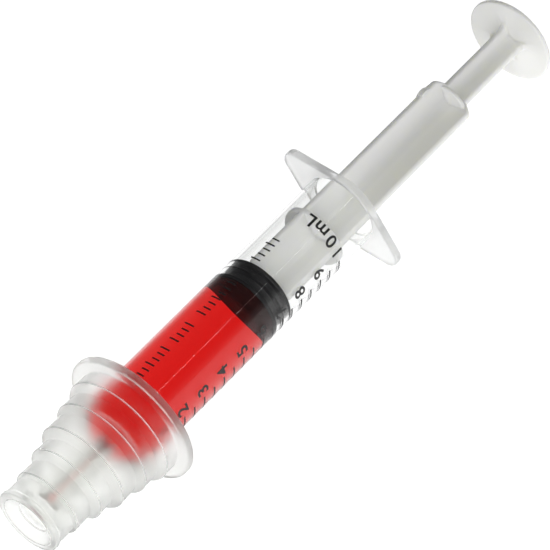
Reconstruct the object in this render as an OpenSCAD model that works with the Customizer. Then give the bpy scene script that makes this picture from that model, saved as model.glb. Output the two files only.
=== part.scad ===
// Oral syringe lying on its side, with a stepped bottle adapter pushed onto its nozzle.
// +X runs from the tip to the thumb disc, +Z up, and z = 0 is the table. The syringe has rolled
// until one finger wing rests on the table. Every sub-part is drawn about one axis, with its
// zero at the 0 mL line of the barrel.

/* [Barrel] */
// Bore diameter, which sets how far apart the volume lines are
bore_d = 14.7; // [12:0.1:18]
// Wall thickness
barrel_wall = 0.75; // [0.6:0.05:1.2]
// Nominal capacity in millilitres
capacity_ml = 10; // [8:1:12]
// Barrel length past the last volume line, up to the open end
barrel_tail = 12.4; // [11:0.1:20]
// Nozzle length, from the barrel's front wall to its tip
nozzle_len = 17.4; // [12:0.1:18]
// Nozzle outer diameter
nozzle_d = 4.3; // [3.8:0.1:5]
// Nozzle bore diameter
nozzle_bore_d = 2.3; // [1.6:0.1:2.6]

/* [Finger flange] */
// Length across both wings
wing_span = 30.8; // [26:0.2:36]
// Radius of each wing's end
wing_end_r = 2.8; // [2:0.1:4]
// Radius of the flange about the barrel
flange_collar_r = 8.7; // [8.6:0.1:10]
// Flange thickness
flange_t = 1.8; // [1.4:0.1:2.6]

/* [Dose] */
// Volume drawn up, in millilitres
dose_ml = 6.6; // [1:0.1:7]

/* [Piston] */
// Piston length, without its nose
piston_len = 5.5; // [5.5:0.1:8]
// Radial gap between the seals and the bore
seal_gap = 0.03; // [0.02:0.01:0.06]

/* [Plunger rod] */
// Radius across the four ribs
rib_r = 6.9; // [6.5:0.05:7]
// Rib thickness
rib_t = 1.5; // [1.2:0.1:2]
// Radius of the narrow neck's ribs
neck_r = 4; // [3.6:0.1:4.6]
// Length of the wide ribs
wide_len = 58.4; // [50:0.1:64]
// Length of the neck, up to the thumb disc
neck_len = 22.9; // [18:0.2:26]
// Thumb disc radius
thumb_r = 9.85; // [8.5:0.05:12]
// Thumb disc thickness
thumb_t = 1.1; // [1:0.1:2]

/* [Bottle adapter] */
// Wall thickness of the shell
adapter_wall = 1; // [0.8:0.1:1.3]
// Flange radius
seat_r = 14.5; // [13.5:0.1:16]
// Flange thickness
seat_t = 1.8; // [1.4:0.1:2.2]

/* [Hidden] */

$fn = 96;

bore_r = bore_d / 2;
barrel_r = bore_r + barrel_wall;
// A millilitre is 1000 cubic millimetres, so the bore fixes its length along the barrel.
ml_pitch = 1000 / (PI * bore_r * bore_r);
barrel_end = capacity_ml * ml_pitch + barrel_tail;
front_wall_t = 1.1;
front_cone_h = 0.9;
nozzle_r = nozzle_d / 2;
nozzle_bore_r = nozzle_bore_d / 2;
nozzle_base = -front_wall_t - front_cone_h;
nozzle_tip = nozzle_base - nozzle_len + front_cone_h;

// Piston: the seals' front edge reads the dose.
piston_front = dose_ml * ml_pitch;
piston_rear = piston_front + piston_len;
nose_gap = 0.1;
seal_r = bore_r - seal_gap;
groove_r = bore_r - 0.85;
snap_neck_r = 2.6;
snap_head_r = 3.8;
snap_gap = 0.2;

// Plunger rod, from its front end against the piston to the thumb face.
rod_front = piston_rear + snap_gap;
wide_end = rod_front + wide_len;
neck_start = wide_end + 3;
thumb_front = neck_start + neck_len - 3;
thumb_face = thumb_front + thumb_t;
guide_disc_at = rod_front + 15.6;
guide_disc_t = 1.2;
bump_at = wide_end - 2.6;

// Bottle adapter: each step is [where its chamfer starts, outer radius].
steps = [
    [-19.0, 7.35],
    [-14.5, 8.5],
    [-9.85, 9.95],
    [-4.4, 10.9],
    [0.45, 12.05]
];
chamfer_len = 1.5;
lip_front = -23.9;
lip_r = 7.1;
lip_t = 1;
mouth_r = 5.6;
mouth_bore_r = 3.5;
body_r = 6.8;
seat_face = 5.1;
seat_rear = seat_face + seat_t;
socket_r = nozzle_r + 0.1;
socket_wall = 1.5;
socket_end = -4;

// Where the axis lies over the table: the adapter's flange touches it.
axis_height = seat_r;
mid_length = (lip_front + thumb_face) / 2;

// A loose syringe also leans a little, from the adapter's flange down to the thumb disc, so
// the wing tip meets the table at this roll, a little further than under a level axis.
axis_drop = (seat_r - thumb_r) / (thumb_face - seat_rear);
wing_height = seat_r - axis_drop * (barrel_end - seat_rear);
roll = asin(min(1, (wing_height - wing_end_r) / (wing_span / 2 - wing_end_r)));

// Printed volume lines wrap from this angle, taken from square to the wings, to just past
// the barrel's side.
print_t = 0.05;
line_w = 0.45;
line_from = 58;
line_sweep = 42;

// Lays a part drawn about +Z along +X, over the table. Its own +Y is the upper finger wing.
module along_barrel() {
    translate([-mid_length, 0, axis_height]) rotate([roll, 0, 0]) rotate([0, 90, 0]) children();
}

// A plain disc or cylinder between two places along the axis.
module round_bar(from, to, r) {
    translate([0, 0, from]) cylinder(h = to - from, r = r);
}

// Outline of the finger flange: a collar and two wing ends, joined by their tangents.
module flange_outline() {
    reach = wing_span / 2 - wing_end_r;
    lean = asin((flange_collar_r - wing_end_r) / reach);
    circle(r = flange_collar_r);
    for (side = [1, -1]) {
        translate([0, side * reach]) circle(r = wing_end_r);
        polygon([
            [-flange_collar_r * cos(lean), side * flange_collar_r * sin(lean)],
            [-wing_end_r * cos(lean), side * (reach + wing_end_r * sin(lean))],
            [wing_end_r * cos(lean), side * (reach + wing_end_r * sin(lean))],
            [flange_collar_r * cos(lean), side * flange_collar_r * sin(lean)]
        ]);
    }
}

// Translucent barrel with its nozzle and finger flange in one moulding.
module barrel() {
    corner = 0.8;
    color([0.86, 0.87, 0.86]) along_barrel() difference() {
        union() {
            rotate_extrude() polygon([
                [0, nozzle_tip],
                [nozzle_r - 0.3, nozzle_tip],
                [nozzle_r, nozzle_tip + 0.5],
                [nozzle_r, nozzle_base + 0.3],
                [nozzle_r + 0.9, nozzle_base + front_cone_h],
                [barrel_r - corner, -front_wall_t + 0.2],
                [barrel_r, -front_wall_t + 0.2 + corner],
                [barrel_r, barrel_end],
                [0, barrel_end]
            ]);
            translate([0, 0, barrel_end - flange_t]) linear_extrude(flange_t) flange_outline();
        }
        round_bar(0, barrel_end + 1, bore_r);
        translate([0, 0, -front_cone_h]) cylinder(h = front_cone_h, r1 = nozzle_bore_r, r2 = bore_r);
        round_bar(nozzle_tip - 1, -front_cone_h / 2, nozzle_bore_r);
    }
}

// Printed volume lines, one at every half millilitre.
module scale_lines() {
    color([0.12, 0.12, 0.12]) along_barrel() for (half = [1 : 2 * capacity_ml]) {
        rotate([0, 0, line_from - 180])
            translate([0, 0, half * ml_pitch / 2 - line_w / 2])
                rotate_extrude(angle = line_sweep)
                    translate([barrel_r, 0]) square([print_t, line_w]);
    }
}

// Black rubber piston: a front seal, a thin rib and a rear rib, hollow for the rod's head.
module piston() {
    nose_h = front_cone_h - nose_gap;
    color([0.13, 0.13, 0.14]) along_barrel() difference() {
        rotate_extrude() polygon([
            [0, piston_front - nose_h],
            [nozzle_bore_r, piston_front - nose_h],
            [seal_r, piston_front],
            [seal_r, piston_front + 0.9],
            [groove_r, piston_front + 1.3],
            [groove_r, piston_front + 2.6],
            [seal_r, piston_front + 2.8],
            [seal_r, piston_front + 3.1],
            [groove_r, piston_front + 3.3],
            [groove_r, piston_front + 4.3],
            [seal_r, piston_front + 4.6],
            [seal_r, piston_rear - 0.3],
            [seal_r - 0.3, piston_rear],
            [0, piston_rear]
        ]);
        round_bar(piston_rear - 2, piston_rear + 1, snap_neck_r + snap_gap);
        round_bar(piston_rear - 4, piston_rear - 2, snap_head_r + snap_gap);
    }
}

// Two crossed plates, with their corners turned 45 degrees from the wings.
module crossed_ribs(from, to) {
    for (turn = [45, 135]) {
        rotate([0, 0, turn]) translate([-rib_r - 1, -rib_t / 2, from])
            cube([2 * rib_r + 2, rib_t, to - from]);
    }
}

// Cross-ribbed rod with a snap head, a guide disc, a narrow neck and a thumb disc.
module plunger_rod() {
    rib_corner = 0.4;
    color([0.8, 0.81, 0.79]) along_barrel() {
        round_bar(piston_rear - 3.8, piston_rear - 2.2, snap_head_r);
        round_bar(piston_rear - 2.3, rod_front + 0.1, snap_neck_r);
        intersection() {
            crossed_ribs(rod_front, thumb_front + 0.1);
            rotate_extrude() polygon([
                [0, rod_front],
                [rib_r - rib_corner, rod_front],
                [rib_r, rod_front + rib_corner],
                [rib_r, wide_end],
                [neck_r, neck_start],
                [neck_r, thumb_front - 1.5],
                [neck_r + 1.5, thumb_front + 0.1],
                [0, thumb_front + 0.1]
            ]);
        }
        round_bar(guide_disc_at, guide_disc_at + guide_disc_t, rib_r);
        translate([0, 0, wide_end + 0.8]) cylinder(h = 1.2, r1 = neck_r + 1.6, r2 = neck_r + 0.6);
        round_bar(thumb_front, thumb_face, thumb_r);
        // Small detent bump on the outer edge of one rib.
        rotate([0, 0, 135]) translate([rib_r - 0.9, 0, bump_at]) rotate([90, 0, 0])
            translate([0, 0, -rib_t / 2]) cylinder(h = rib_t, r = 1.2, $fn = 32);
    }
}

// Frosted adapter: a stepped shell that plugs a bottle's neck, a flange that sits on the
// bottle's rim, and an inner socket that grips the nozzle.
module bottle_adapter() {
    color([0.85, 0.87, 0.85]) along_barrel() rotate_extrude() polygon(concat(
        [
            [mouth_r, lip_front],
            [lip_r - 0.3, lip_front],
            [lip_r, lip_front + 0.3],
            [lip_r, lip_front + lip_t],
            [body_r, lip_front + lip_t + 0.3]
        ],
        [for (i = [0 : len(steps) - 1]) each [
            [i == 0 ? body_r : steps[i - 1][1], steps[i][0]],
            [steps[i][1], steps[i][0] + (i == 0 ? 0.6 : chamfer_len)]
        ]],
        [
            [steps[4][1], seat_face],
            [seat_r - 0.4, seat_face],
            [seat_r, seat_face + 0.4],
            [seat_r, seat_rear - 0.4],
            [seat_r - 0.4, seat_rear],
            [steps[4][1] - adapter_wall, seat_rear]
        ],
        [for (i = [len(steps) - 1 : -1 : 1]) each [
            [steps[i][1] - adapter_wall, steps[i][0] + chamfer_len + 0.5],
            [steps[i - 1][1] - adapter_wall, steps[i][0] + 0.5]
        ]],
        [
            [steps[0][1] - adapter_wall, steps[0][0] + 1],
            [body_r - adapter_wall, steps[0][0] + 0.5],
            [body_r - adapter_wall, lip_front + 3],
            [socket_r + socket_wall + 0.9, lip_front + 3],
            [socket_r + socket_wall + 0.9, nozzle_tip + 1.2],
            [socket_r + socket_wall, nozzle_tip + 1.8],
            [socket_r + socket_wall, socket_end],
            [socket_r + 0.4, socket_end],
            [socket_r, socket_end - 0.6],
            [socket_r, nozzle_tip - 0.4],
            [mouth_bore_r, nozzle_tip - 0.4],
            [mouth_bore_r, lip_front + 1.7]
        ]
    ));
}

// Red oral liquid that fills the bore ahead of the piston, and the nozzle's bore.
module dose_liquid() {
    skin = 0.04;
    color([0.8, 0.1, 0.05]) along_barrel() rotate_extrude() polygon([
        [0, nozzle_tip + 0.2],
        [nozzle_bore_r - skin, nozzle_tip + 0.2],
        [nozzle_bore_r - skin, -front_cone_h + skin],
        [bore_r - skin, skin],
        [bore_r - skin, piston_front - skin],
        [nozzle_bore_r, piston_front - front_cone_h + nose_gap - skin],
        [0, piston_front - front_cone_h + nose_gap - skin]
    ]);
}

barrel();
scale_lines();
piston();
plunger_rod();
bottle_adapter();
dose_liquid();
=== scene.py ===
import math

import bmesh
import bpy
from mathutils import Matrix, Vector


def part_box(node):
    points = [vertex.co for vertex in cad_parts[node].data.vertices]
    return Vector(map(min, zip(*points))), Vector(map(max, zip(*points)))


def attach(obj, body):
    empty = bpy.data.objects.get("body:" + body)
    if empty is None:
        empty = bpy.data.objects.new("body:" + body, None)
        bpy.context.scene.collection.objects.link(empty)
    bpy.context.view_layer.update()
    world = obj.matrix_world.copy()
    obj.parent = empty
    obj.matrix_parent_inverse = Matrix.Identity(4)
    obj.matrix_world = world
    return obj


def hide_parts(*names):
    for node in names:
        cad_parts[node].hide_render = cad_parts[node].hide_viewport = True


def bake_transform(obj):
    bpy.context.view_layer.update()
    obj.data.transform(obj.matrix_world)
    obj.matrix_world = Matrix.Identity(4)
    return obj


# An oral syringe lying on a light table: clear barrel, black piston, milky ribbed rod, red dose
# and a frosted stepped bottle adapter. Pieces are drawn in millimetres along the barrel's axis,
# with x = 0 at the 0 mL line, r the distance from the axis and turn the angle round the axis
# from square to the finger wings towards the printed lines. place() turns these into metres.

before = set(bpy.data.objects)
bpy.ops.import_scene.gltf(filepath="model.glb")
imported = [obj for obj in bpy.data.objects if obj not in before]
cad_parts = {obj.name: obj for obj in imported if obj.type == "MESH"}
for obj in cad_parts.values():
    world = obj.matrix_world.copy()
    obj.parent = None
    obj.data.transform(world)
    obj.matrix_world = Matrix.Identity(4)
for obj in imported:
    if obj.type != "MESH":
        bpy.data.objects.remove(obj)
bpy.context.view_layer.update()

MM = 0.001
SIDES = 144

# The syringe's own sizes, as in the CAD model.
BORE_R = 7.35
BARREL_R = 8.1
BARREL_END = 71.32
FLANGE_T = 1.8
COLLAR_R = 8.7
WING_END_R = 2.8
WING_REACH = 12.6
ML = 1000 / (math.pi * BORE_R ** 2)
DOSE_ML = 6.6
PISTON_FRONT = DOSE_ML * ML
PISTON_LEN = 5.5
PISTON_REAR = PISTON_FRONT + PISTON_LEN
FRONT_CONE = 0.9
NOZZLE_BASE = -2.0
NOZZLE_TIP = -18.5
NOZZLE_R = 2.15
NOZZLE_BORE_R = 1.15
ROD_FRONT = PISTON_REAR + 0.2
WIDE_END = ROD_FRONT + 58.4
NECK_START = WIDE_END + 3
RIB_R = 6.9
RIB_T = 1.5
NECK_R = 4.0
THUMB_R = 9.85
THUMB_T = 1.1
SEAT_R = 14.5
SEAT_T = 1.8
SEAT_FACE = 5.1

barrel_low, barrel_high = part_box("barrel")
rod_low, rod_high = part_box("plunger_rod")
AXIS_Z = (barrel_low.z + barrel_high.z) / 2
ZERO_X = barrel_high.x - BARREL_END * MM
THUMB_FACE = (rod_high.x - ZERO_X) / MM
THUMB_FRONT = THUMB_FACE - THUMB_T
# The wings' height over the axis gives how far the syringe has rolled onto the lower one.
ROLL = math.asin(((barrel_high.z - AXIS_Z) / MM - WING_END_R) / WING_REACH)

ALONG = Vector((1, 0, 0))


def spoke(turn):
    """The direction that leaves the axis at an angle."""
    return Vector((0, -math.sin(turn + ROLL), math.cos(turn + ROLL)))


def place(x, r, turn):
    """A point in the frame, from millimetres along the axis and off it, and an angle."""
    return Vector((ZERO_X + x * MM, 0, AXIS_Z)) + r * MM * spoke(turn)


# ---------------------------------------------------------------- camera, floor and light

CAMERA_TILT = math.radians(27.9)
CAMERA_DISTANCE = 0.644
LENS = 216.7
LOOK_AT = 49.07


def add_camera():
    """Looks at the barrel's middle from the tip's side, with the syringe on the diagonal."""
    top, side = spoke(0), spoke(math.pi / 2)
    look = math.sin(CAMERA_TILT) * ALONG - math.cos(CAMERA_TILT) * top
    rising = math.cos(CAMERA_TILT) * ALONG + math.sin(CAMERA_TILT) * top
    right = (rising + side).normalized()
    above = (rising - side).normalized()
    data = bpy.data.cameras.new("camera")
    data.lens = LENS
    data.sensor_width = 36
    data.clip_start, data.clip_end = 0.05, 20
    camera = bpy.data.objects.new("camera", data)
    bpy.context.collection.objects.link(camera)
    turn = Matrix((right, above, -look)).transposed()
    camera.matrix_world = turn.to_4x4()
    camera.location = place(LOOK_AT, 0, 0) - look * CAMERA_DISTANCE
    bpy.context.scene.camera = camera


def node_material(name):
    """A new material, with its tree and its Principled shader."""
    material = bpy.data.materials.new(name)
    material.use_nodes = True
    tree = material.node_tree
    return material, tree, tree.nodes["Principled BSDF"]


def add_node(tree, kind, sockets=None, **settings):
    """A node with its settings and its input sockets, each a value or a link to an output."""
    node = tree.nodes.new(kind)
    for key, value in settings.items():
        setattr(node, key, value)
    for key, value in (sockets or {}).items():
        if isinstance(value, bpy.types.NodeSocket):
            tree.links.new(value, node.inputs[key])
        else:
            node.inputs[key].default_value = value
    return node


TABLE_GLOW = 1.0
TABLE_COLOR = (0.25, 0.25, 0.25, 1)


def add_table():
    """A light table, leaning a little so that flange, wing tip and thumb disc all touch it."""
    flange_x = ZERO_X + (SEAT_FACE + SEAT_T) * MM
    rise = (AXIS_Z - THUMB_R * MM) / (rod_high.x - flange_x)
    reach = 3.0
    clear = 0.0001
    mesh = bpy.data.meshes.new("table")
    corners = [(x, y, rise * (x - flange_x) - clear) for x, y in
               ((-reach, -reach), (reach, -reach), (reach, reach), (-reach, reach))]
    mesh.from_pydata(corners, [], [(0, 1, 2, 3)])
    table = bpy.data.objects.new("table", mesh)
    bpy.context.collection.objects.link(table)
    material, tree, shader = node_material("table_glow")
    shader.inputs["Base Color"].default_value = TABLE_COLOR
    shader.inputs["Roughness"].default_value = 0.9
    shader.inputs["Specular IOR Level"].default_value = 0.2
    shader.inputs["Emission Color"].default_value = (1, 1, 1, 1)
    coordinate = add_node(tree, "ShaderNodeTexCoord")
    distance = add_node(tree, "ShaderNodeVectorMath", {0: coordinate.outputs["Object"]},
                        operation="LENGTH")
    glow = add_node(tree, "ShaderNodeMapRange", {
        "Value": distance.outputs["Value"], "From Min": 0.25, "From Max": 0.9,
        "To Min": TABLE_GLOW, "To Max": 0.45 * TABLE_GLOW}, interpolation_type="SMOOTHSTEP")
    tree.links.new(glow.outputs["Result"], shader.inputs["Emission Strength"])
    material.cycles.emission_sampling = "NONE"
    mesh.materials.append(material)


def add_area_light(name, target, toward, distance, size, radiance):
    """A soft light that faces a point, its first side as near along the syringe as it can be."""
    away = toward.normalized()
    first = (ALONG - ALONG.dot(away) * away).normalized()
    data = bpy.data.lights.new(name, "AREA")
    data.shape = "RECTANGLE"
    data.size, data.size_y = size
    data.energy = radiance * math.pi * size[0] * size[1]
    light = bpy.data.objects.new(name, data)
    bpy.context.collection.objects.link(light)
    light.matrix_world = Matrix((first, away.cross(first), away)).transposed().to_4x4()
    light.location = target + away * distance


def add_world():
    """A studio with bright walls, and a dim ceiling that leaves the barrel's reflections dark."""
    world = bpy.data.worlds.new("studio")
    bpy.context.scene.world = world
    world.use_nodes = True
    world.cycles.sampling_method = "NONE"
    tree = world.node_tree
    coordinate = add_node(tree, "ShaderNodeTexCoord")
    parts = add_node(tree, "ShaderNodeSeparateXYZ", {"Vector": coordinate.outputs["Generated"]})
    glow = add_node(tree, "ShaderNodeMapRange", {
        "Value": parts.outputs["Z"], "From Min": 0.0, "From Max": 0.35,
        "To Min": 0.5, "To Max": 0.14}, interpolation_type="SMOOTHSTEP")
    background = tree.nodes["Background"]
    background.inputs["Color"].default_value = (0.98, 0.99, 1.0, 1)
    tree.links.new(glow.outputs["Result"], background.inputs["Strength"])


def add_lighting():
    bpy.context.scene.view_settings.view_transform = "Standard"
    add_world()
    top = spoke(0)
    key = -0.88 * ALONG + 0.42 * top + 0.1 * spoke(math.pi / 2)
    add_area_light("tip_side_soft", place(50, 0, 0), key, 0.6, (0.4, 0.4), 1.6)
    overhead = -0.35 * ALONG + 0.93 * top
    add_area_light("overhead_soft", place(50, 0, 0), overhead, 0.8, (0.5, 0.9), 1.7)
    streak = math.sin(CAMERA_TILT) * ALONG + math.cos(CAMERA_TILT) * top
    add_area_light("thin_streak", place(26, 0, 0), streak, 0.5, (0.11, 0.004), 12)


add_camera()
add_table()
add_lighting()


# ---------------------------------------------------------------- mesh tools

def shaded(piece):
    """Smooths a piece except at sharp corners, with normals led by its largest faces."""
    for polygon in piece.data.polygons:
        polygon.use_smooth = True
    piece.data.set_sharp_from_angle(angle=math.radians(35))
    modifier = piece.modifiers.new("normals", "WEIGHTED_NORMAL")
    modifier.keep_sharp = True
    modifier.weight = 100
    bake_modifiers(piece)


def bake_modifiers(piece):
    """Makes what a piece's modifiers show its own mesh."""
    bpy.context.view_layer.update()
    graph = bpy.context.evaluated_depsgraph_get()
    mesh = bpy.data.meshes.new_from_object(piece.evaluated_get(graph))
    piece.modifiers.clear()
    piece.data = mesh


def new_piece(name, bm, body, material):
    """Turns a bmesh into a piece that rides on a body."""
    bmesh.ops.recalc_face_normals(bm, faces=bm.faces)
    mesh = bpy.data.meshes.new(name)
    bm.to_mesh(mesh)
    bm.free()
    piece = bpy.data.objects.new(name, mesh)
    bpy.context.collection.objects.link(piece)
    mesh.materials.append(material)
    shaded(piece)
    if body:
        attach(piece, body)
    return piece


def rounded(outline, closed):
    """Replaces each corner that has a third number, its fillet radius, by a short arc."""
    steps = 6
    result = []
    count = len(outline)
    for i, corner in enumerate(outline):
        fillet = corner[2] if len(corner) > 2 else 0
        here = Vector(corner[:2])
        if not fillet or (not closed and i in (0, count - 1)):
            result.append(here)
            continue
        before = (Vector(outline[i - 1][:2]) - here).normalized()
        after = (Vector(outline[(i + 1) % count][:2]) - here).normalized()
        half = before.angle(after) / 2
        middle = here + (before + after).normalized() * fillet / math.sin(half)
        start = here + before * fillet / math.tan(half) - middle
        end = here + after * fillet / math.tan(half) - middle
        for step in range(steps + 1):
            arm = start.slerp(end, step / steps) if start.angle(end) > 1e-6 else start
            result.append(middle + arm.normalized() * fillet)
    return result


def lathe(outline, closed=False, sides=SIDES):
    """A bmesh turned from an outline of (x, r) or (x, r, fillet) points in millimetres."""
    bm = bmesh.new()
    rings = []
    for x, r in rounded(outline, closed):
        if r < 1e-6:
            rings.append([bm.verts.new(place(x, 0, 0))])
        else:
            rings.append([bm.verts.new(place(x, r, 2 * math.pi * k / sides)) for k in range(sides)])
    pairs = list(zip(rings, rings[1:]))
    if closed:
        pairs.append((rings[-1], rings[0]))
    for ring, following in pairs:
        for k in range(sides):
            near = (k + 1) % sides
            corners = [ring[k % len(ring)], ring[near % len(ring)],
                       following[near % len(following)], following[k % len(following)]]
            unique = list(dict.fromkeys(corners))
            if len(unique) > 2:
                bm.faces.new(unique)
    return bm


def extruded(outline, stations):
    """A bmesh through loops of one outline; a station is (x, a function of each point)."""
    bm = bmesh.new()
    loops = []
    for x, shape in stations:
        loop = []
        for point in outline:
            turn, r = shape(point)
            loop.append(bm.verts.new(place(x, r, turn)))
        loops.append(loop)
    for loop, following in zip(loops, loops[1:]):
        for k in range(len(loop)):
            near = (k + 1) % len(loop)
            bm.faces.new([loop[k], loop[near], following[near], following[k]])
    bm.faces.new(loops[0])
    bm.faces.new(loops[-1])
    return bm


def combined(piece, tools, operation):
    """Applies an exact boolean of the tool pieces to a piece, and removes the tools."""
    for tool in tools:
        modifier = piece.modifiers.new("boolean", "BOOLEAN")
        modifier.operation = operation
        modifier.solver = "EXACT"
        modifier.object = tool
        modifier.material_mode = "TRANSFER"
    bake_modifiers(piece)
    for tool in tools:
        bpy.data.objects.remove(tool)
    shaded(piece)


def give_front(piece, material, limit):
    """Gives another material to a piece's faces that lie in front of a limit along the axis."""
    piece.data.materials.append(material)
    for face in piece.data.polygons:
        if (face.center - place(limit, 0, 0)).dot(ALONG) < 0:
            face.material_index = len(piece.data.materials) - 1


# ---------------------------------------------------------------- materials

def grain(tree, scale, stretch=1.0, detail=2.0):
    """Noise at so many waves a metre, drawn out along the syringe by a stretch."""
    coordinate = add_node(tree, "ShaderNodeTexCoord")
    mapping = add_node(tree, "ShaderNodeMapping", {
        "Vector": coordinate.outputs["Object"],
        "Scale": (scale / stretch, scale, scale)})
    noise = add_node(tree, "ShaderNodeTexNoise", {
        "Vector": mapping.outputs["Vector"], "Scale": 1.0, "Detail": detail})
    return noise.outputs["Fac"]


def spread(tree, value, low, high):
    """Maps noise, which stays between about 0.3 and 0.7, onto a range."""
    node = add_node(tree, "ShaderNodeMapRange", {
        "Value": value, "From Min": 0.3, "From Max": 0.7, "To Min": low, "To Max": high})
    return node.outputs["Result"]


def tinted(tree, value, low, high):
    """A colour between two, by noise."""
    node = add_node(tree, "ShaderNodeMix", {"Factor": spread(tree, value, 0, 1)}, data_type="RGBA")
    node.inputs["A"].default_value = (*low, 1)
    node.inputs["B"].default_value = (*high, 1)
    return node.outputs["Result"]


def bumped(tree, shader, height, distance):
    """Gives a shader small relief, with its height in metres."""
    bump = add_node(tree, "ShaderNodeBump", {
        "Height": height, "Strength": 1.0, "Distance": distance})
    tree.links.new(bump.outputs["Normal"], shader.inputs["Normal"])


def partly_clear(tree, shader, share, color):
    """A mix of a shader, by its share, with a straight view through the surface."""
    clear = add_node(tree, "ShaderNodeBsdfTransparent", {"Color": color})
    return add_node(tree, "ShaderNodeMixShader", {
        0: share, 1: clear.outputs[0], 2: shader.outputs[0]})


def lets_lamps_through(tree, shader, color):
    """Light from a lamp passes straight through the surface, so it reaches what is inside."""
    clear = add_node(tree, "ShaderNodeBsdfTransparent", {"Color": color})
    path = add_node(tree, "ShaderNodeLightPath")
    mix = add_node(tree, "ShaderNodeMixShader", {
        0: path.outputs["Is Shadow Ray"], 1: shader.outputs[0], 2: clear.outputs[0]})
    tree.links.new(mix.outputs[0], tree.nodes["Material Output"].inputs["Surface"])


def clear_plastic(name, roughness, clarity, ior=1.49):
    """Clear polypropylene, with faint draw lines along the barrel."""
    material, tree, shader = node_material(name)
    shader.inputs["Base Color"].default_value = (0.975, 0.98, 0.975, 1)
    shader.inputs["IOR"].default_value = ior
    shader.inputs["Transmission Weight"].default_value = clarity
    shader.inputs["Specular Tint"].default_value = (0.5, 0.5, 0.5, 1)
    lines = grain(tree, 900, stretch=60)
    tree.links.new(spread(tree, lines, *roughness), shader.inputs["Roughness"])
    bumped(tree, shader, lines, 3e-7)
    lets_lamps_through(tree, shader, (0.93, 0.93, 0.93, 1))
    return material


def dose_material():
    """Red liquid, deeper where there is more of it."""
    material, tree, shader = node_material("red_dose")
    shader.inputs["Base Color"].default_value = (1, 1, 1, 1)
    shader.inputs["Roughness"].default_value = 0.0
    shader.inputs["IOR"].default_value = 1.2
    shader.inputs["Transmission Weight"].default_value = 1.0
    shader.inputs["Specular Tint"].default_value = (0, 0, 0, 1)
    absorption = add_node(tree, "ShaderNodeVolumeAbsorption", {
        "Color": (0.925, 0.055, 0.02, 1), "Density": 330.0})
    tree.links.new(absorption.outputs[0], tree.nodes["Material Output"].inputs["Volume"])
    lets_lamps_through(tree, shader, (0.9, 0.1, 0.08, 1))
    return material


def rubber_material(name, gloss):
    """Black moulded rubber, satin, with a fine grain and slightly uneven colour."""
    material, tree, shader = node_material(name)
    shader.inputs["Specular IOR Level"].default_value = gloss
    cloud = grain(tree, 260, detail=3)
    tree.links.new(tinted(tree, cloud, (0.004, 0.004, 0.005), (0.010, 0.009, 0.010)),
                   shader.inputs["Base Color"])
    tree.links.new(spread(tree, cloud, 0.28, 0.45), shader.inputs["Roughness"])
    bumped(tree, shader, grain(tree, 5000), 6e-6)
    return material


def rod_material():
    """Natural milky polypropylene: light soaks in, and the thin disc glows more than the ribs."""
    material, tree, shader = node_material("rod_milky")
    flow = grain(tree, 130, stretch=4, detail=3)
    tree.links.new(tinted(tree, flow, (0.80, 0.80, 0.78), (0.825, 0.825, 0.81)),
                   shader.inputs["Base Color"])
    tree.links.new(spread(tree, flow, 0.42, 0.55), shader.inputs["Roughness"])
    shader.inputs["Subsurface Weight"].default_value = 1.0
    shader.inputs["Subsurface Radius"].default_value = (1.0, 1.0, 0.85)
    shader.inputs["Subsurface Scale"].default_value = 0.0018
    bumped(tree, shader, grain(tree, 1500, stretch=3), 8e-6)
    return material


def inner_tube_material():
    """The adapter's thin inner tube, which barely shows."""
    material, tree, shader = node_material("inner_tube")
    frost = grain(tree, 420, stretch=2, detail=3)
    tree.links.new(tinted(tree, frost, (0.80, 0.81, 0.79), (0.86, 0.87, 0.85)),
                   shader.inputs["Base Color"])
    tree.links.new(spread(tree, frost, 0.3, 0.4), shader.inputs["Roughness"])
    mix = partly_clear(tree, shader, 0.03, (0.99, 0.99, 0.985, 1))
    tree.links.new(mix.outputs[0], tree.nodes["Material Output"].inputs["Surface"])
    return material


def edge_material():
    """Painted highlights: lighter, less clear rings that stand in for the glints of light along the
    edges of the adapter's steps, lip and flange.
    """
    material, tree, shader = node_material("adapter_painted_highlight")
    frost = grain(tree, 300, stretch=2, detail=3)
    # The near-white colour here is a painted highlight, not the plastic's own tone.
    tree.links.new(tinted(tree, frost, (0.93, 0.93, 0.91), (0.97, 0.97, 0.96)),
                   shader.inputs["Base Color"])
    tree.links.new(spread(tree, frost, 0.2, 0.3), shader.inputs["Roughness"])
    mix = partly_clear(tree, shader, 0.3, (0.98, 0.98, 0.975, 1))
    tree.links.new(mix.outputs[0], tree.nodes["Material Output"].inputs["Surface"])
    return material


FROST_SHARE = 0.9


def adapter_material():
    """Frosted natural polyethylene: nearly all light is scattered on and a little goes straight."""
    material, tree, shader = node_material("adapter_frosted")
    shader.inputs["Base Color"].default_value = (0.93, 0.935, 0.92, 1)
    shader.inputs["IOR"].default_value = 1.2
    shader.inputs["Transmission Weight"].default_value = 1.0
    shader.inputs["Specular Tint"].default_value = (0.2, 0.2, 0.2, 1)
    frost = grain(tree, 420, stretch=2, detail=3)
    tree.links.new(spread(tree, frost, 0.42, 0.5), shader.inputs["Roughness"])
    bumped(tree, shader, grain(tree, 600), 3e-6)
    film = partly_clear(tree, shader, FROST_SHARE, (0.985, 0.99, 0.98, 1))
    lets_lamps_through(tree, film, (0.9, 0.9, 0.9, 1))
    return material


def ink_material():
    """Black printing ink, a little uneven."""
    material, tree, shader = node_material("print_ink")
    cloud = grain(tree, 2500)
    tree.links.new(tinted(tree, cloud, (0.004, 0.004, 0.004), (0.02, 0.02, 0.02)),
                   shader.inputs["Base Color"])
    tree.links.new(spread(tree, cloud, 0.4, 0.6), shader.inputs["Roughness"])
    return material


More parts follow.
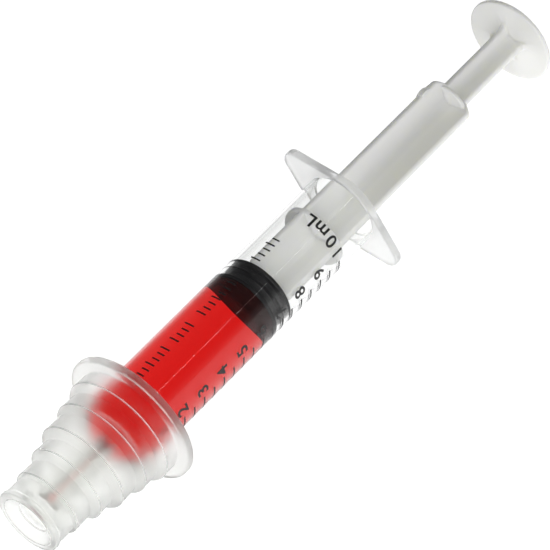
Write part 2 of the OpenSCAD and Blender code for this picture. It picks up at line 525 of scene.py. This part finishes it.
BARREL = clear_plastic("barrel_clear", (0.02, 0.04), 1.0)
FLANGE = clear_plastic("flange_hazy", (0.30, 0.38), 0.75)
DOSE = dose_material()
RUBBER = rubber_material("piston_rubber", 0.5)
WET_RUBBER = rubber_material("wet_rubber", 0.03)
ROD = rod_material()
ADAPTER = adapter_material()
TUBE = inner_tube_material()
# EDGE is the painted highlight drawn on the adapter's thin edge rings.
EDGE = edge_material()
FRONT = clear_plastic("front_wall", (0.05, 0.1), 1.0, ior=1.3)
INK = ink_material()


# ---------------------------------------------------------------- barrel

def wing_outline():
    """The finger flange's outline, as (across, up) points before the roll, counter-clockwise."""
    lean = math.asin((COLLAR_R - WING_END_R) / WING_REACH)
    outline = []
    for side in (0, math.pi):
        for step in range(17):
            angle = side + (step / 8 - 1) * (math.pi / 2 - lean)
            outline.append(Vector((WING_REACH * math.cos(side) + WING_END_R * math.cos(angle),
                                   WING_END_R * math.sin(angle))))
        for step in range(1, 12):
            angle = side + math.pi / 2 - lean + 2 * lean * step / 12
            outline.append(COLLAR_R * Vector((math.cos(angle), math.sin(angle))))
    return outline


def wing_plate():
    """The two-winged finger flange as a solid plate with rounded edges."""
    def polar(point):
        return math.atan2(point.x, point.y), point.length

    bm = extruded(wing_outline(), [(BARREL_END - FLANGE_T, polar), (BARREL_END, polar)])
    bmesh.ops.recalc_face_normals(bm, faces=bm.faces)
    ends = sorted(bm.faces, key=lambda face: len(face.verts))[-2:]
    rims = list({edge for face in ends for edge in face.edges})
    bmesh.ops.bevel(bm, geom=rims, offset=0.4 * MM, segments=4, profile=0.5, affect="EDGES")
    return bm


# The barrel's front wall and nozzle lie in front of this, where the fillets of its corner end.
FRONT_LIMIT = 1.2


def add_barrel():
    outer = lathe([
        (NOZZLE_TIP, 0),
        (NOZZLE_TIP, NOZZLE_R, 0.3),
        (NOZZLE_BASE, NOZZLE_R, 0.5),
        (NOZZLE_BASE + FRONT_CONE, NOZZLE_R + 0.9, 0.3),
        (-0.9, BARREL_R, 1.6),
        (BARREL_END - 0.1, BARREL_R),
        (BARREL_END - 0.1, 0),
    ])
    bore = lathe([
        (NOZZLE_TIP - 1, 0),
        (NOZZLE_TIP - 1, NOZZLE_BORE_R),
        (-FRONT_CONE, NOZZLE_BORE_R, 0.2),
        (0, BORE_R, 1.0),
        (BARREL_END - 0.4, BORE_R),
        (BARREL_END + 1, BORE_R + 0.9),
        (BARREL_END + 1, 0),
    ])
    barrel = new_piece("barrel_shell", outer, "barrel", BARREL)
    plate = new_piece("plate", wing_plate(), None, FLANGE)
    bore = new_piece("bore", bore, None, BARREL)
    combined(barrel, [plate], "UNION")
    combined(barrel, [bore], "DIFFERENCE")
    give_front(barrel, FRONT, FRONT_LIMIT)
    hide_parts("barrel")


# ---------------------------------------------------------------- dose, piston and rod

def add_dose():
    """The liquid: its end meets the piston's front and its front stays in the nozzle and the bore.

    Its front corner is rounder than the bore's, which keeps dark reflections out of it.
    """
    skin = 0.02
    corner = 2.5
    wet_r = BORE_R + skin
    bm = lathe([
        (NOZZLE_TIP + 0.3, 0),
        (NOZZLE_TIP + 0.3, 1.0),
        (NOZZLE_TIP + 2.6, 0.5),
        (-FRONT_CONE - 1, 0.5),
        (-FRONT_CONE, NOZZLE_BORE_R + skin),
        (0, wet_r, corner),
        (PISTON_FRONT + 0.2, wet_r),
        (PISTON_FRONT - 0.6, NOZZLE_BORE_R),
        (PISTON_FRONT - 0.6, 0),
    ])
    dose = new_piece("dose", bm, None, DOSE)
    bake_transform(dose)
    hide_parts("dose_liquid")


def add_piston():
    seal_r = BORE_R + 0.03
    groove_r = 6.5
    front, rear = PISTON_FRONT, PISTON_REAR
    bm = lathe([
        (front - 0.8, 0),
        (front - 0.8, NOZZLE_BORE_R, 0.2),
        (front, seal_r, 0.15),
        (front + 0.9, seal_r, 0.2),
        (front + 1.3, groove_r, 0.2),
        (front + 2.6, groove_r, 0.2),
        (front + 2.8, seal_r, 0.1),
        (front + 3.1, seal_r, 0.1),
        (front + 3.3, groove_r, 0.2),
        (front + 4.3, groove_r, 0.2),
        (front + 4.6, seal_r, 0.15),
        (rear, seal_r, 0.4),
        (rear, 2.8, 0.2),
        (rear - 2, 2.8),
        (rear - 2, 4),
        (rear - 4, 4),
        (rear - 4, 0),
    ])
    piston = new_piece("piston_rubber", bm, "piston", RUBBER)
    give_front(piston, WET_RUBBER, front + 0.1)
    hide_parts("piston")


def rib_outline():
    """The four ribs' outline as (arm, along, across, reaches the rim) points."""
    half = RIB_T / 2
    tip, root = 0.55, 1.8
    points = []
    for arm in range(4):
        for side in (-1, 1):
            for step in range(5):
                angle = (side * 45 + (step - 2) * 22.5) * math.pi / 180
                points.append((arm, -tip + tip * math.cos(angle),
                               side * (half - tip) + tip * math.sin(angle), True))
        for step in range(5):
            angle = (270 - 22.5 * step) * math.pi / 180
            points.append((arm, half + root + root * math.cos(angle),
                           half + root + root * math.sin(angle), False))
    return points


def rib_shape(rib_r):
    """Turns a point of the ribs' outline into an angle and a radius, for ribs of a radius."""
    def polar(point):
        arm, along, across, at_rim = point
        along += rib_r if at_rim else 0
        return math.pi / 4 + arm * math.pi / 2 + math.atan2(across, along), math.hypot(along, across)
    return polar


def detent_bump():
    """A small round bump on the outer edge of one rib, near the ribs' wide end."""
    bump_x, bump_r, bump_turn = WIDE_END - 3.4, RIB_R - 0.9, -math.pi / 4
    half_length, radius = 2.0, 1.25
    bm = bmesh.new()
    sides = 32
    rims = []
    for across in (0.05 - RIB_T / 2, RIB_T / 2 - 0.05):
        rim = []
        for k in range(sides):
            angle = 2 * math.pi * k / sides
            out = bump_r + radius * math.sin(angle)
            rim.append(bm.verts.new(place(
                bump_x + half_length * math.cos(angle), math.hypot(out, across),
                bump_turn + math.atan2(across, out))))
        rims.append(rim)
    for k in range(sides):
        near = (k + 1) % sides
        bm.faces.new([rims[0][k], rims[0][near], rims[1][near], rims[1][k]])
    bm.faces.new(rims[0])
    bm.faces.new(rims[1])
    return bm


def rounded_shoulder():
    """Stations from the ribs' full width to the neck, along a slightly full slope."""
    steps = 8
    fullness = 0.5
    shoulder = []
    for step in range(steps + 1):
        part = step / steps
        drop = part ** (1 + fullness)
        shoulder.append((WIDE_END + (NECK_START - WIDE_END) * part,
                         RIB_R + (NECK_R - RIB_R) * drop))
    return shoulder


def add_rod():
    stations = [
        (ROD_FRONT, RIB_R - 0.4),
        (ROD_FRONT + 0.4, RIB_R),
        *rounded_shoulder(),
        (THUMB_FRONT - 1.6, NECK_R),
        (THUMB_FRONT - 0.7, NECK_R + 0.3),
        (THUMB_FRONT + 0.2, NECK_R + 1.3),
    ]
    body = extruded(rib_outline(), [(x, rib_shape(rib_r)) for x, rib_r in stations])
    rod = new_piece("rod", body, "plunger_rod", ROD)
    guide = ROD_FRONT + 15.6
    discs = [
        lathe([(guide, 0), (guide, RIB_R, 0.3), (guide + 1.2, RIB_R, 0.3), (guide + 1.2, 0)]),
        lathe([(WIDE_END + 0.8, 0), (WIDE_END + 0.8, NECK_R + 1.6, 0.3),
               (WIDE_END + 2, NECK_R + 0.8, 0.3), (WIDE_END + 2, 0)]),
        lathe([(THUMB_FRONT, 0), (THUMB_FRONT, THUMB_R, 0.35), (THUMB_FACE, THUMB_R, 0.45),
               (THUMB_FACE, THUMB_R - 1.3), (THUMB_FACE - 0.25, THUMB_R - 2.2),
               (THUMB_FACE - 0.3, 0)]),
        lathe([(PISTON_REAR - 3.8, 0), (PISTON_REAR - 3.8, 3.4, 0.3), (PISTON_REAR - 3.3, 3.8, 0.2),
               (PISTON_REAR - 2.2, 3.8, 0.2), (PISTON_REAR - 2.2, 2.6), (ROD_FRONT + 0.2, 2.6),
               (ROD_FRONT + 0.2, 0)]),
    ]
    tools = [new_piece("disc", bm, None, ROD) for bm in (*discs, detent_bump())]
    combined(rod, tools, "UNION")
    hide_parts("plunger_rod")


# ---------------------------------------------------------------- bottle adapter

# Each step of the adapter: where its shoulder starts, the crest's radius, the radius it
# draws in to, and the length of the shoulder.
STEPS = [
    (-19.0, 7.35, 7.2, 0.6),
    (-14.5, 8.5, 8.3, 1.5),
    (-9.85, 9.95, 9.75, 1.5),
    (-4.4, 10.9, 10.75, 1.5),
    (0.45, 12.05, 11.9, 1.5),
]


LIP_FRONT = -23.9
LIP_R = 7.1
MOUTH_R = 5.6
MOUTH_BORE_R = 3.5
RECESS = LIP_FRONT + 1.7


def add_adapter():
    wall = 1.0
    body_r = 6.8
    socket_r = NOZZLE_R + 0.1
    socket_out = socket_r + 1.5
    outside = [
        (LIP_FRONT, MOUTH_R, 0.15),
        (LIP_FRONT, LIP_R, 0.35),
        (LIP_FRONT + 1.0, LIP_R, 0.3),
        (LIP_FRONT + 1.3, body_r, 0.3),
    ]
    radius = body_r
    for start, crest, drawn_in, shoulder in STEPS:
        outside += [(start, radius, 0.1), (start + shoulder, crest, 0.25)]
        if shoulder > 1:
            outside.append((start + shoulder + 0.9, crest - 0.08))
        radius = drawn_in
    outside += [
        (SEAT_FACE, radius, 0.3),
        (SEAT_FACE, SEAT_R, 0.5),
        (SEAT_FACE + SEAT_T, SEAT_R, 0.5),
        (SEAT_FACE + SEAT_T, radius - wall, 0.3),
    ]
    inside = []
    for (start, crest, drawn_in, shoulder), before in zip(STEPS[:0:-1], STEPS[-2::-1]):
        inside += [(start + shoulder + 0.5, crest - wall, 0.4), (start + 0.5, before[1] - wall, 0.3)]
    inside += [
        (STEPS[0][0] + 1, STEPS[0][1] - wall, 0.2),
        (STEPS[0][0] + 0.5, body_r - wall, 0.2),
        (LIP_FRONT + 3, body_r - wall, 0.3),
        (LIP_FRONT + 3, MOUTH_BORE_R, 0.3),
        (RECESS, MOUTH_BORE_R, 0.3),
    ]
    shell = new_piece("adapter_shell", lathe(outside + inside, closed=True),
                      "bottle_adapter", ADAPTER)
    tube = new_piece("adapter_inner_tube", lathe([
        (LIP_FRONT + 3, MOUTH_BORE_R),
        (LIP_FRONT + 3, socket_out + 0.9),
        (NOZZLE_TIP + 1.2, socket_out + 0.9, 0.2),
        (NOZZLE_TIP + 1.8, socket_out, 0.2),
        (-4.0, socket_out, 0.2),
        (-4.0, socket_r + 0.4),
        (-4.6, socket_r),
        (NOZZLE_TIP - 0.4, socket_r),
        (NOZZLE_TIP - 0.4, MOUTH_BORE_R, 0.2),
    ], closed=True), "bottle_adapter", TUBE)
    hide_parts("bottle_adapter")
    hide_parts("bottle_adapter")


def add_adapter_edges():
    """Thin rings of painted highlight along the steps' crests and the rims of the lip, the recess and
    the flange.
    """
    edges = [(start + shoulder, crest) for start, crest, drawn_in, shoulder in STEPS]
    edges += [(LIP_FRONT + 0.15, LIP_R - 0.15), (LIP_FRONT + 0.05, MOUTH_R + 0.15),
              (RECESS, MOUTH_BORE_R + 0.2), (SEAT_FACE + 0.2, SEAT_R - 0.2)]
    for index, (x, r) in enumerate(edges):
        ring = [(x - 0.14, r - 0.20), (x - 0.10, r - 0.02), (x + 0.10, r + 0.01), (x + 0.16, r - 0.20)]
        edge = new_piece("adapter_edge_%d" % index, lathe(ring, closed=True),
                         "bottle_adapter", EDGE)
        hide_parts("bottle_adapter")


# ---------------------------------------------------------------- print

INK_LIFT = 0.015


def wrapped(patches, name, node=None):
    """Lays flat patches of (x, turn) corners on the barrel as a thin skin of ink."""
    bm = bmesh.new()
    for x0, x1, turn0, turn1 in patches:
        columns = max(1, math.ceil(math.degrees(abs(turn1 - turn0)) / 3))
        rows = []
        for k in range(columns + 1):
            turn = turn0 + (turn1 - turn0) * k / columns
            rows.append([bm.verts.new(place(x, BARREL_R + INK_LIFT, turn)) for x in (x0, x1)])
        for (a, b), (d, c) in zip(rows, rows[1:]):
            bm.faces.new([a, b, c, d])
    piece = new_piece(name, bm, "barrel", INK)
    if node:
        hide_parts(node)
    return piece


def add_scale_lines():
    patches = []
    thick = 0.45
    for half in range(1, 21):
        x = half * ML / 2
        patches.append((x - thick / 2, x + thick / 2, math.radians(58), math.radians(100)))
    wrapped(patches, "volume_lines", "scale_lines")


def add_number(bm_all, text, x, turn, height):
    """Adds a number printed round the barrel, its top towards the tip."""
    curve = bpy.data.curves.new("digits", "FONT")
    curve.body = text
    curve.size = height / 0.73
    curve.align_x = "CENTER"
    curve.offset = 0.02 * curve.size
    flat = bpy.data.objects.new("digits", curve)
    bpy.context.collection.objects.link(flat)
    bpy.context.view_layer.update()
    graph = bpy.context.evaluated_depsgraph_get()
    mesh = bpy.data.meshes.new_from_object(flat.evaluated_get(graph))
    bpy.data.objects.remove(flat)
    bm = bmesh.new()
    bm.from_mesh(mesh)
    width = max(v.co.x for v in bm.verts)
    cut = -width
    while cut < width:
        bmesh.ops.bisect_plane(bm, geom=bm.verts[:] + bm.edges[:] + bm.faces[:],
                               plane_co=(cut, 0, 0), plane_no=(1, 0, 0))
        cut += 0.3
    for v in bm.verts:
        v.co = place(x - v.co.y + height / 2, BARREL_R + INK_LIFT, turn - v.co.x / BARREL_R)
    bm.to_mesh(mesh)
    bm.free()
    bm_all.from_mesh(mesh)
    bpy.data.meshes.remove(mesh)


def add_numbers():
    bm = bmesh.new()
    for ml in range(1, 10):
        add_number(bm, str(ml), ml * ML, math.radians(46), 2.9)
    for text, turn in (("1", 42), ("0", 22.6), ("m", 0), ("L", -19)):
        add_number(bm, text, 10 * ML, math.radians(turn), 2.9)
    new_piece("volume_numbers", bm, "barrel", INK)


def add_dashes():
    """A generic printed row along the barrel: short and long strokes in a plain rhythm."""
    patches = []
    stroke, pitch = 0.36, 1.5
    for start, marks in ((8.8, 7), (20.5, 4), (28.5, 7), (45, 5)):
        for mark in range(marks):
            x = start + mark * pitch
            top = -45 if mark % 3 == 0 else -41.5
            patches.append((x, x + stroke, math.radians(top), math.radians(-29)))
    wrapped(patches, "dashed_row")


add_adapter()
add_adapter_edges()
add_barrel()
add_dose()
add_piston()
add_rod()
add_scale_lines()
add_numbers()
add_dashes()
